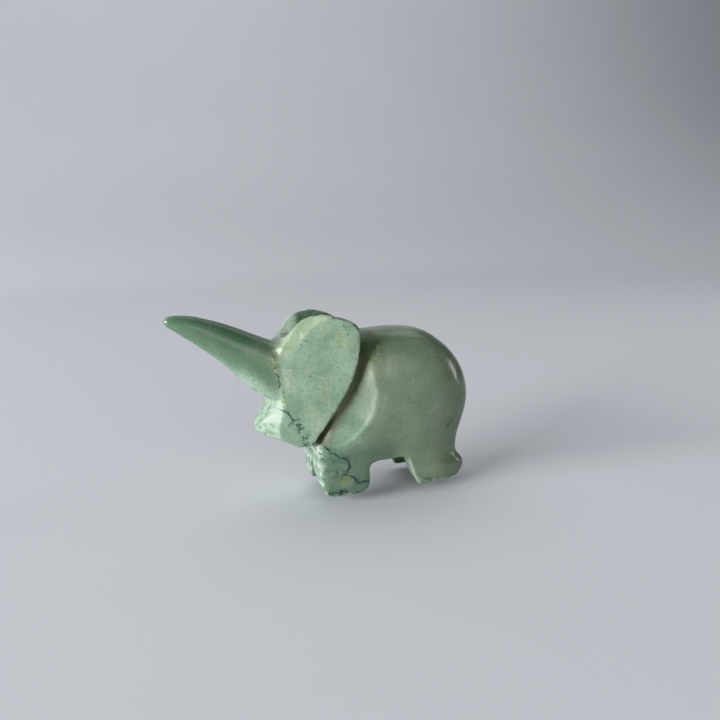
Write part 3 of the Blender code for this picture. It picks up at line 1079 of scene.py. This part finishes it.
# ---------------------------------------------------------------------------------------------
# Studio: a pale sweep, a large window ahead of the elephant, weaker lights and the camera.
# ---------------------------------------------------------------------------------------------
# The sweep, in metres: depth and height of its profile, and half its breadth.
SWEEP_PROFILE = [
    (-1.5, 0.0),
    (0.2, 0.0),
    (0.7, 0.03),
    (1.3, 0.2),
    (1.8, 0.6),
    (2.0, 1.2),
    (2.05, 2.4),
]
SWEEP_HALF_BREADTH = 3.5
PAPER_SHADES = ((0.76, 0.775, 0.81, 1), (0.80, 0.81, 0.84, 1))

SKY_COLOUR = (0.80, 0.84, 0.90, 1)
SKY_STRENGTH = 0.18

# The camera, in millimetres of the drawing and degrees.
CAMERA_PLACE = (-30.4 + SHIFT_X, -109.6, 44.7)
CAMERA_TARGET = (4.4 + SHIFT_X, -5.7, 24.0)
CAMERA_ROLL = -1.66


def sweep():
    """A floor that curves up into a backdrop."""
    shape = bmesh.new()
    sides = (-SWEEP_HALF_BREADTH, SWEEP_HALF_BREADTH)
    rows = []
    for depth, height in through(SWEEP_PROFILE, 6):
        rows.append([shape.verts.new((side, depth, height)) for side in sides])
    for first, second in zip(rows, rows[1:]):
        shape.faces.new((first[0], first[1], second[1], second[0]))
    mesh = bpy.data.meshes.new("sweep")
    shape.to_mesh(mesh)
    shape.free()
    mesh.shade_smooth()
    g = Graph("pale_paper")
    place = g.node("ShaderNodeTexCoord").outputs["Object"]
    cloud = g.grain(place, 0.3, 3.0)
    g.put(g.shader.inputs["Base Color"], g.mix(cloud, *PAPER_SHADES))
    g.shader.inputs["Roughness"].default_value = 0.85
    mesh.materials.append(g.material)
    made = bpy.data.objects.new("sweep", mesh)
    bpy.context.scene.collection.objects.link(made)


def area_light(name, place, target, size, power, colour, roll=0):
    """A rectangular light that faces its target, in metres, watts and degrees."""
    lamp = bpy.data.lights.new(name, "AREA")
    lamp.shape = "RECTANGLE"
    lamp.size, lamp.size_y = size
    lamp.energy = power
    lamp.color = colour
    made = bpy.data.objects.new(name, lamp)
    made.location = place
    away = Vector(target) - Vector(place)
    turn = away.to_track_quat("-Z", "Y") @ Quaternion((0, 0, 1), math.radians(roll))
    made.rotation_euler = turn.to_euler()
    bpy.context.scene.collection.objects.link(made)


def lights():
    middle = (0.0, 0.0, 0.016)
    area_light("window", (-1.17, -0.27, 0.25), middle, (0.855, 0.513), 25.0, (0.97, 0.99, 1.0))
    area_light("fill", (0.05, -0.80, 0.30), middle, (0.5, 0.4), 0.9, (1.0, 0.99, 0.97))
    area_light("strip", (0.42, -0.07, 0.085), middle, (0.018, 0.17), 0.17, (1.0, 1.0, 1.0), -35)
    area_light("ceiling", (0.0, 1.0, 1.7), (0.0, 1.1, 0.0), (3.0, 1.6), 12.0, (0.98, 0.99, 1.0))
    world = bpy.data.worlds.new("studio")
    world.use_nodes = True
    sky = world.node_tree.nodes["Background"]
    sky.inputs["Color"].default_value = SKY_COLOUR
    sky.inputs["Strength"].default_value = SKY_STRENGTH
    bpy.context.scene.world = world
    bpy.context.scene.view_settings.view_transform = "Khronos PBR Neutral"


def camera():
    """Close to the figurine, ahead of its left side and a little above."""
    place = Vector(CAMERA_PLACE) * MM
    target = Vector(CAMERA_TARGET) * MM
    lens = bpy.data.cameras.new("camera")
    lens.lens = 32
    lens.sensor_width = 36
    lens.clip_start = 0.005
    made = bpy.data.objects.new("camera", lens)
    look = (target - place).to_track_quat("-Z", "Y").to_matrix().to_4x4()
    tilt = Matrix.Rotation(math.radians(CAMERA_ROLL), 4, "Z")
    made.matrix_world = Matrix.Translation(place) @ look @ tilt
    bpy.context.scene.collection.objects.link(made)
    bpy.context.scene.camera = made


elephant()
sweep()
lights()
camera()
